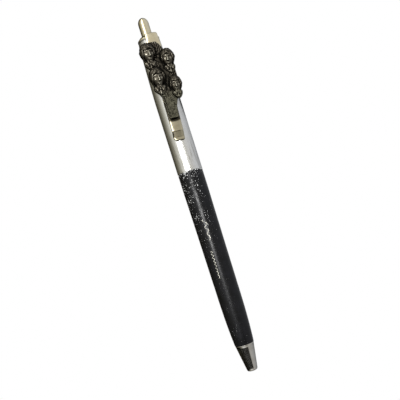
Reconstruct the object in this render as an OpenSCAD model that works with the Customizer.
// Retractable gel pen with a two-piece barrel, a push button, a spring clip and a cast clip ornament.
//
// Each part is drawn in the pen's own frame: z runs from the nose's end to the button, y points to
// the clip, and the pen's axis is x = y = 0. place() then lays the pen down: its axis becomes X with
// the button at +X, the clip points up, and the barrel's lowest line is at Z = 0.

/* [Barrel] */
// Length from the nose's end to the top of the button
pen_length = 137; // [125:1:165]
// Outer diameter of the barrel at its seam
barrel_d = 9.5; // [9.2:0.1:11.5]
// Diameter of the upper barrel at its top end
barrel_top_d = 8.2; // [8.2:0.1:9.2]
// Length of the upper barrel's taper
upper_taper = 23; // [12:1:30]
// Length of the lower barrel
lower_length = 66.8; // [55:0.1:75]
// Wall of the upper barrel
upper_wall = 0.7; // [0.5:0.05:0.9]
// Width of the broken edges at the seam
edge_break = 0.3; // [0.05:0.05:0.4]
// Diameter of the lower barrel at the nose
lower_end_d = 7.3; // [7.1:0.1:8.4]
// Length of the lower barrel's straight stretch under the seam
lower_straight = 8; // [5:0.5:12]
// Length of the lower barrel's curved front end
lower_taper = 24; // [18:1:32]

/* [Nose] */
// Length of the nose cone
nose_length = 10.3; // [9.5:0.1:13]
// Diameter of the nose cone at its seam
nose_d = 7.1; // [7:0.1:8]
// Diameter of the nose's open end
nose_end_d = 3.9; // [3.6:0.1:5]
// Length of the shank that plugs into the lower barrel
nose_shank = 6; // [4:0.5:9]

/* [Button] */
// Diameter of the push button
button_d = 4; // [3.2:0.1:4.8]
// Length of the button that shows
button_out = 7.5; // [6.5:0.1:10]
// Travel of the button
click_travel = 5; // [3:0.5:6]

/* [Crown] */
// Height of the crown nut's dome
crown_height = 0.9; // [0.6:0.1:1.5]
// Diameter of the crown nut's dome at its foot
crown_d = 7.6; // [6.8:0.1:8]
// Length of the crown nut's threaded shank
crown_shank = 6; // [4:0.5:8]
// Thickness of the lock washer
washer_t = 0.3; // [0.2:0.05:0.5]

/* [Clip] */
// Thickness of the clip's sheet
clip_t = 0.6; // [0.4:0.05:0.8]
// Width of the clip at its top bend
clip_top_w = 4.4; // [3.6:0.1:6]
// Width of the clip where the ornament starts
clip_w = 5.2; // [4:0.1:6]
// Width of the clip at its free end
clip_end_w = 4.1; // [2.4:0.1:5]
// Length of the clip
clip_length = 40; // [34:1:44]
// Gap between the clip and the barrel below the bend
clip_gap = 1.2; // [0.8:0.1:2]
// Length of the ramp down to the line that touches the barrel
clip_ramp = 2.4; // [1.8:0.1:4]
// Length of the flared free end, past the line that touches the barrel
clip_flare = 0.8; // [0.6:0.1:2]
// Angle by which the clip's blade leans sideways
clip_skew = 2; // [0:0.5:3]

/* [Ornament] */
// Width of the ornament across its widest figures
ornament_w = 12.4; // [10.5:0.1:13]
// Length of the ornament
ornament_length = 28; // [24:0.5:29]
// Distance from the clip's top to the ornament
ornament_drop = 4.6; // [3:0.1:6]
// Thickness of the ornament's plaque
plaque_t = 1.4; // [1:0.1:2]
// Height of the heads above the plaque
head_relief = 2.2; // [1.5:0.1:3]

/* [Refill] */
// Length of the refill
refill_length = 98; // [90:1:106]
// Diameter of the refill's tube
refill_d = 6; // [5.6:0.1:7.2]
// Distance of the ball inside the nose's end, retracted
tip_inset = 1.5; // [1:0.1:2.5]
// Diameter of the writing ball
ball_d = 0.7; // [0.5:0.1:1]
// Diameter of the metal tip
tip_d = 2.4; // [2:0.1:2.5]

/* [Spring] */
// Wire diameter of the return spring
wire_d = 0.45; // [0.3:0.05:0.5]
// Turns of the return spring
spring_turns = 11; // [8:1:14]

/* [Hidden] */
$fn = 96;

slip = 0.05;       // radial clearance of pieces that slide or turn in each other
loose = 0.1;       // radial clearance around the refill's tip
eps = 0.01;        // overlap that keeps cuts clean

// Stations along the axis, from the nose's end
seam_nose = nose_length;
seam_mid = nose_length + lower_length;
crown_top = pen_length - button_out;
collar_top = crown_top - crown_height;
collar_bottom = collar_top - clip_t;
barrel_top = collar_bottom - washer_t;
taper_start = barrel_top - upper_taper;
crown_bottom = barrel_top - crown_shank;

// Barrel sizes
barrel_r = barrel_d / 2;
bore_r = barrel_r - upper_wall;               // wide bore of the upper barrel
neck_wall = 0.75;
neck_bore_r = barrel_top_d / 2 - neck_wall;   // narrow bore under the taper
neck_start = taper_start + 1;                 // step between the two bores
passage_r = refill_d / 2 + 0.2;               // way for the refill
coupler_grip = 8;                             // coupler length held in the upper barrel
coupler_thread = 8;                           // coupler length that screws into the lower barrel
thread_r = (passage_r + bore_r) / 2;
lower_seam_r = barrel_r - 0.05;
thread_pitch = 0.75;
thread_depth = (thread_r - passage_r) / 4;

// Nose sizes
shank_r = lower_end_d / 2 - 0.65;
shank_bore_r = shank_r - 0.4;
spring_seat = nose_length - 1.8;
tip_bore_r = tip_d / 2 + loose;

// Click mechanism, from the top of the refill upwards
refill_bottom = tip_inset;
refill_top = refill_bottom + refill_length;
rotor_gap = 0.05;
rotor_bottom = refill_top + rotor_gap;
rotor_length = 6;
tooth_height = 0.8;
tooth_gap = 0.05;
rotor_top = rotor_bottom + rotor_length;
thrust_bottom = rotor_top + tooth_gap;        // tips of the thrust cam's teeth
thrust_top = crown_bottom - 0.05;
cam_r = button_d / 2 + 0.2;
rib_out = 0.5;
rib_length = 3;
rib_angle = 14;
slot_before = 9;                              // angle of a slot before its rib's middle
slot_after = 24;                              // angle of a slot after its rib's middle
cam_ribs = 4;
land_r = cam_r + slip;
slot_r = cam_r + rib_out + slip;
sleeve_bottom = rotor_bottom - 2.5;
stem_r = 1.2;
stem_length = (thrust_top - thrust_bottom) * 3 / 8;

// Refill sizes
tube_wall = 0.5;
holder_r = 1.75;
holder_top = refill_bottom + 26.5;
holder_flange = 1;
holder_plug = 4;
holder_bottom = spring_seat + click_travel + 0.3;
tip_grip = 2.5;                               // length of the metal tip held in its holder
tip_top = holder_bottom + tip_grip;
tip_cone = 2.6;
ball_r = ball_d / 2;
ball_out = 0.25;                              // how far the ball stands out of its socket
ball_slip = 0.02;
ink_way_r = 0.22;
ink_top = refill_top - 18;
grease_length = 4;
plug_length = 4;
plug_vent_r = 0.5;

// Clip sizes
hinge_r = clip_t / 2;
hinge_slip = 0.04;
bend_inset = 0.35;                            // how far the bend's middle lies inside the gap
hinge_y = barrel_r + clip_gap - bend_inset;   // middle of the bend, from the pen's axis
hinge_z = collar_top - hinge_r;
blade_top_y = hinge_y + 0.9;                  // outer face of the blade below the bend
touch_z = collar_top - clip_length + clip_flare;
fold_z = touch_z + clip_ramp;                 // where the blade turns down to the barrel
touch_gap = 0.06;
blade_low_y = barrel_r + clip_gap + clip_t;
flare_rise = clip_flare * 0.3;
ornament_top = collar_top - ornament_drop;
skew_z = ornament_top - ornament_length * 0.27;

// Lays the pen down
module place() {
    translate([-pen_length / 2, 0, barrel_r]) rotate([90, 0, 90]) children();
}

// Leans the clip's blade sideways about the middle of its figures
module skew() {
    translate([0, 0, skew_z]) rotate([0, -clip_skew, 0]) translate([0, 0, -skew_z]) children();
}

// A ring or a disc around the pen's axis, from z0 to z1
module ring(r, z0, z1, bore = 0) {
    translate([0, 0, z0]) difference() {
        cylinder(r = r, h = z1 - z0);
        if (bore > 0) translate([0, 0, -eps]) cylinder(r = bore, h = z1 - z0 + 2 * eps);
    }
}

// Shallow grooves of a fine thread, as rings cut into a shank
module thread_grooves(r, z0, z1) {
    for (z = [z0 + thread_pitch : thread_pitch : z1 - thread_pitch])
        ring(r + 1, z, z + thread_pitch * 0.4, bore = r - thread_depth);
}

// Points of an arc-like bulge between two stations: r falls from r0 to r1 with a rising slope
function bulge(z0, r0, z1, r1, power, steps) =
    [for (i = [0 : steps]) let (t = i / steps) [r0 + (r1 - r0) * pow(t, power), z0 + (z1 - z0) * t]];

module upper_barrel() {
    color("silver") difference() {
        rotate_extrude() polygon(concat(
            [[0, seam_mid], [barrel_r - edge_break, seam_mid], [barrel_r, seam_mid + edge_break]],
            bulge(taper_start, barrel_r, barrel_top - 0.4, barrel_top_d / 2, 1.3, 8),
            [[barrel_top_d / 2 - 0.25, barrel_top], [0, barrel_top]]));
        ring(bore_r, seam_mid - eps, neck_start);
        ring(neck_bore_r, neck_start - eps, barrel_top + eps);
    }
}

module lower_barrel() {
    socket_bottom = seam_mid - coupler_thread - 1;
    curve_top = seam_nose + lower_taper;
    curve_r = lower_seam_r - 0.3;             // the barrel narrows this much before it curves in
    color([0.1, 0.1, 0.11]) difference() {
        rotate_extrude() polygon(concat(
            [[0, seam_mid], [lower_seam_r - edge_break, seam_mid], [lower_seam_r, seam_mid - edge_break]],
            bulge(seam_mid - lower_straight, lower_seam_r, curve_top, curve_r, 0.8, 4),
            bulge(curve_top - 1, curve_r - 0.02, seam_nose, lower_end_d / 2, 2.6, 8),
            [[0, seam_nose]]));
        ring(thread_r + slip, socket_bottom, seam_mid + eps);
        ring(passage_r, seam_nose - eps + nose_shank, socket_bottom + eps);
        ring(shank_r, seam_nose - eps, seam_nose + nose_shank);
    }
}

module nose_cone() {
    rim = 0.35;
    color("silver") difference() {
        union() {
            rotate_extrude() polygon(concat(
                [[0, seam_nose], [nose_d / 2, seam_nose]],
                [[nose_d / 2, seam_nose - 0.4], [nose_end_d / 2, rim]],
                [[nose_end_d / 2 - rim, 0], [0, 0]]));
            ring(shank_r, seam_nose - eps, seam_nose + nose_shank);
        }
        ring(tip_bore_r, -eps, spring_seat + eps);
        ring(shank_bore_r, spring_seat, seam_nose + nose_shank + eps);
    }
}

module barrel_coupler() {
    color("goldenrod") difference() {
        union() {
            ring(bore_r, seam_mid + eps, seam_mid + coupler_grip);
            ring(thread_r, seam_mid - coupler_thread, seam_mid + 2 * eps);
        }
        ring(passage_r, seam_mid - coupler_thread - eps, seam_mid + coupler_grip + eps);
        thread_grooves(thread_r, seam_mid - coupler_thread, seam_mid);
    }
}

module crown_nut() {
    color("tan") difference() {
        union() {
            rotate_extrude() polygon([
                [0, collar_top], [crown_d / 2, collar_top], [crown_d / 2 - 0.1, collar_top + 0.3],
                [crown_d / 2 - 0.5, crown_top - 0.2], [button_d / 2 + 0.6, crown_top], [0, crown_top]]);
            ring(neck_bore_r, crown_bottom, collar_top + eps);
        }
        ring(button_d / 2 + slip, crown_bottom - eps, crown_top + eps);
        thread_grooves(neck_bore_r, crown_bottom, barrel_top);
    }
}

module lock_washer() {
    color("gray") ring(barrel_top_d / 2 - 0.1, barrel_top, collar_bottom, bore = neck_bore_r);
}

// The clip's flange around the crown nut, with a tab out to the bend
module clip_collar() {
    lean_x = (skew_z - collar_top) * sin(clip_skew);   // how far the lean moves the tab
    tab_y = barrel_top_d / 2 + 0.4;
    color("tan") difference() {
        union() {
            ring(barrel_top_d / 2, collar_bottom, collar_top);
            translate([-clip_top_w / 2 + lean_x, 0, collar_bottom])
                cube([clip_top_w, tab_y, clip_t]);
            skew() translate([-clip_top_w / 2, tab_y - 0.2, collar_bottom])
                cube([clip_top_w, hinge_y - tab_y + 0.2, clip_t]);
            skew() translate([-clip_top_w / 2, hinge_y, hinge_z]) rotate([0, 90, 0])
                cylinder(r = hinge_r, h = clip_top_w);
        }
        ring(neck_bore_r, collar_bottom - 2, collar_top + 2);
    }
}

// Outline of the blade seen from the side, as [z, y] points
function blade_side() = let (w = clip_t) concat(
    [[hinge_z - hinge_r, hinge_y], [hinge_z + hinge_r, hinge_y]],
    [for (a = [0 : 15 : 90]) [hinge_z + hinge_r - 0.9 + 0.9 * cos(a), hinge_y + 0.9 * sin(a)]],
    [[fold_z, blade_low_y], [touch_z + 0.2, barrel_r + touch_gap + w + 0.05],
     [touch_z - 0.2, barrel_r + touch_gap + w + 0.05],
     [touch_z - clip_flare, barrel_r + touch_gap + w + flare_rise],
     [touch_z - clip_flare, barrel_r + touch_gap + flare_rise],
     [touch_z - 0.2, barrel_r + touch_gap], [touch_z + 0.2, barrel_r + touch_gap],
     [fold_z + 0.1, blade_low_y - w], [hinge_z - hinge_r - 0.3, blade_top_y - w]]);

// Outline of the blade seen from the front, as [x, z] points
function blade_front() = let (top = collar_top + 1, end = touch_z - clip_flare, c = 0.9) [
    [-clip_top_w / 2, top], [clip_top_w / 2, top], [clip_top_w / 2, hinge_z], [clip_w / 2, ornament_top],
    [clip_end_w / 2 + 0.1, fold_z], [clip_end_w / 2, end + c], [clip_end_w / 2 - c, end],
    [-clip_end_w / 2 + c, end], [-clip_end_w / 2, end + c], [-clip_end_w / 2 - 0.1, fold_z],
    [-clip_w / 2, ornament_top], [-clip_top_w / 2, hinge_z]];

module clip_arm() {
    color("tan") skew() difference() {
        intersection() {
            translate([-clip_w, 0, 0]) rotate([90, 0, 90]) linear_extrude(2 * clip_w)
                polygon([for (p = blade_side()) [p[1], p[0]]]);
            translate([0, 20, 0]) rotate([90, 0, 0]) linear_extrude(20) polygon(blade_front());
        }
        translate([-clip_w, hinge_y, hinge_z]) rotate([0, 90, 0])
            cylinder(r = hinge_r + hinge_slip, h = 2 * clip_w);
    }
}

// Heads of the ornament, as [share of its width, distance below its top, size]
HEADS = [[0.267, 3.9, 1.08], [-0.254, 6.7, 1], [0.183, 13, 1.08], [-0.28, 16.5, 0.9]];
head_w = 5.4;
head_h = 7;
stem_w = 4;
stem_end_w = 3.3;
stem_side = 0.25;      // the stem stands this far off the blade's middle

// A head in relief: a round mop of hair over a narrower chin
module head(size) {
    r = head_w / 2 * size;
    hull() {
        translate([0, 0, head_h * size * 0.1]) sphere(r = r, $fn = 32);
        translate([0, 0.2, -head_h * size / 2 + 1.5 * size]) sphere(r = 1.4 * size, $fn = 24);
    }
}

// Shoulders and collar under a head
module shoulders(size) {
    rotate([90, 0, 0]) translate([0, 0, -0.8]) linear_extrude(1.6) polygon([
        [-2.4 * size, -head_h * size / 2 - 0.2], [0, -head_h * size / 2 - 2.2],
        [2.4 * size, -head_h * size / 2 - 0.2], [0, 0]]);
}

// The casting as it sits on the leaning blade, which drops towards its free end
module ornament_body() {
    drop = atan((blade_top_y - blade_low_y) / (hinge_z - fold_z));
    w = ornament_w / 2;
    skew() translate([0, blade_top_y, hinge_z]) rotate([-drop, 0, 0])
    translate([0, 0, ornament_top - hinge_z]) {
        rotate([90, 0, 0]) translate([0, 0, -plaque_t]) linear_extrude(plaque_t) polygon([
            [w - 1.6, -2], [1.2, -1.3], [-1.2, -1.3], [-2.1, -4], [1 - w, -4.6], [0.8 - w, -8.8],
            [1.5 - w, -12.5], [0.7 - w, -15.5], [0.7 - w, -18], [2.6 - w, -21.5],
            [stem_side - stem_w / 2, -22.4], [stem_side - stem_end_w / 2, 0.3 - ornament_length],
            [stem_side, -ornament_length], [stem_side + stem_end_w / 2, 0.3 - ornament_length],
            [stem_side + stem_w / 2, -20], [w - 2.6, -18], [w - 1.4, -13], [w - 2.2, -10],
            [w - 3, -9.5], [w - 1, -6.2]]);
        intersection() {
            for (h = HEADS) translate([h[0] * ornament_w, plaque_t - 0.3, -h[1]]) {
                head(h[2]);
                shoulders(h[2]);
            }
            translate([-ornament_w, 0, -ornament_length - 1])
                cube([2 * ornament_w, plaque_t + head_relief, ornament_length + 4]);
        }
    }
}

// The ornament, cut to its full width
module clip_ornament() {
    color([0.27, 0.26, 0.23]) intersection() {
        ornament_body();
        translate([-ornament_w / 2, 0, 0]) cube([ornament_w, 20, pen_length]);
    }
}

module push_button() {
    dome = 2.4;
    color("tan") union() {
        rotate_extrude() polygon(concat(
            [[0, thrust_top], [button_d / 2, thrust_top]],
            [for (a = [0 : 10 : 90]) [button_d / 2 * cos(a), pen_length - dome + dome * sin(a)]]));
        ring(stem_r, thrust_top - stem_length, thrust_top + eps);
    }
}

// Four ribs that run in the cam sleeve's slots, upwards from z
module cam_rib_set(z) {
    for (i = [0 : cam_ribs - 1]) rotate(i * 360 / cam_ribs - rib_angle / 2)
        translate([0, 0, z]) rotate_extrude(angle = rib_angle)
            translate([cam_r - 0.2, 0]) square([rib_out + 0.2, rib_length]);
}

// Notches between the teeth of a cam, with their mouths at z; side is 1 for upward teeth
module tooth_notches(z, side) {
    half = PI * cam_r / (2 * cam_ribs);
    for (i = [0 : cam_ribs - 1]) rotate(i * 180 / cam_ribs + (side > 0 ? 90 / cam_ribs : 0))
        translate([0, 0, z]) rotate([90, 0, 0]) linear_extrude(4 * cam_r, center = true)
            polygon([[-half, side * eps], [half, side * eps], [0, -side * tooth_height]]);
}

module thrust_cam() {
    color("white") difference() {
        union() {
            ring(cam_r, thrust_bottom, thrust_top);
            cam_rib_set(thrust_bottom + tooth_height);
        }
        ring(stem_r, thrust_top - stem_length, thrust_top + eps);
        tooth_notches(thrust_bottom, -1);
    }
}

module rotor_cam() {
    color("white") difference() {
        union() {
            ring(cam_r, rotor_bottom, rotor_top);
            cam_rib_set(rotor_top - tooth_height - rib_length);
        }
        ring(1.2, rotor_bottom - eps, rotor_bottom + 3);
        tooth_notches(rotor_top, 1);
    }
}

module cam_sleeve() {
    color("whitesmoke") difference() {
        union() {
            ring(bore_r, sleeve_bottom, neck_start);
            ring(neck_bore_r, neck_start - eps, crown_bottom);
        }
        ring(land_r, sleeve_bottom - eps, crown_bottom + eps);
        for (i = [0 : cam_ribs - 1]) rotate(i * 360 / cam_ribs - slot_before)
            translate([0, 0, sleeve_bottom - eps]) rotate_extrude(angle = slot_before + slot_after)
                translate([land_r - 0.2, 0]) square([slot_r - land_r + 0.2, crown_bottom - sleeve_bottom - 0.5]);
        ring(passage_r, sleeve_bottom - eps, refill_top + 0.5);
    }
}

// The return spring: a round wire swept along a helix whose end turns are closed
spring_z0 = spring_seat;
spring_z1 = holder_top - holder_flange - 0.05;
coil_r = (holder_r + shank_bore_r) / 2;
ring_sides = 8;
steps_per_turn = 16;
end_share = 1.5 / spring_turns;

function climb(t) =
    let (low = wire_d * 1.04 * 1.5, z = spring_z1 - spring_z0 - wire_d)
    t < end_share ? low * t / end_share :
    t > 1 - end_share ? z - low * (1 - t) / end_share :
    low + (z - 2 * low) * (t - end_share) / (1 - 2 * end_share);

function wire_ring(t) =
    let (a = 360 * spring_turns * t, z = spring_z0 + wire_d / 2 + climb(t))
    [for (k = [0 : ring_sides - 1]) let (b = 360 * k / ring_sides, r = coil_r + wire_d / 2 * cos(b))
        [r * cos(a), r * sin(a), z + wire_d / 2 * sin(b)]];

module return_spring() {
    n = spring_turns * steps_per_turn;
    s = ring_sides;
    points = [for (i = [0 : n]) each wire_ring(i / n)];
    sides = [for (i = [0 : n - 1], k = [0 : s - 1]) let (a = i * s + k, b = i * s + (k + 1) % s)
        each [[a, a + s, b + s], [a, b + s, b]]];
    first = [for (k = [0 : s - 1]) k];
    last = [for (k = [s - 1 : -1 : 0]) n * s + k];
    color("lightsteelblue") polyhedron(points, concat(sides, [first, last]), convexity = 10);
}

module refill_tube() {
    color("gainsboro") ring(refill_d / 2, holder_top, refill_top - 1, bore = refill_d / 2 - tube_wall);
}

module tip_holder() {
    color("ivory") difference() {
        union() {
            ring(holder_r, holder_bottom, holder_top + eps);
            ring(refill_d / 2 - 0.2, holder_top - holder_flange, holder_top);
            ring(refill_d / 2 - tube_wall, holder_top - eps, holder_top + holder_plug);
        }
        ring(tip_d / 2, holder_bottom - eps, tip_top + eps);
        ring(0.8, tip_top, holder_top + holder_plug + eps);
    }
}

module writing_tip() {
    socket_z = refill_bottom + ball_out;
    color("silver") difference() {
        rotate_extrude() polygon([
            [0, socket_z], [ball_r + 0.08, socket_z], [ball_r + 0.16, socket_z + 0.2],
            [tip_d / 2, socket_z + tip_cone], [tip_d / 2, tip_top], [0, tip_top]]);
        translate([0, 0, refill_bottom + ball_r]) sphere(r = ball_r + ball_slip);
        ring(ball_r + ball_slip, socket_z - eps, refill_bottom + ball_r);
        ring(ink_way_r, refill_bottom + ball_r, tip_top + eps);
    }
}

module writing_ball() {
    color("dimgray") translate([0, 0, refill_bottom + ball_r]) sphere(r = ball_r);
}

module ink_column() {
    color([0.05, 0.05, 0.12])
        ring(refill_d / 2 - tube_wall, holder_top + holder_plug, ink_top);
}

module follower_grease() {
    color([0.85, 0.8, 0.6]) ring(refill_d / 2 - tube_wall, ink_top, ink_top + grease_length);
}

module refill_plug() {
    color("darkslategray") difference() {
        union() {
            ring(refill_d / 2 - tube_wall, refill_top - plug_length, refill_top - 1 + eps);
            ring(refill_d / 2 - 0.1, refill_top - 1, refill_top);
        }
        ring(plug_vent_r, refill_top - plug_length - eps, refill_top + eps);
    }
}

place() upper_barrel();
place() lower_barrel();
place() nose_cone();
place() barrel_coupler();
place() crown_nut();
place() lock_washer();
place() clip_collar();
place() clip_arm();
place() clip_ornament();
place() push_button();
place() thrust_cam();
place() rotor_cam();
place() cam_sleeve();
place() return_spring();
place() refill_tube();
place() tip_holder();
place() writing_tip();
place() writing_ball();
place() ink_column();
place() follower_grease();
place() refill_plug();
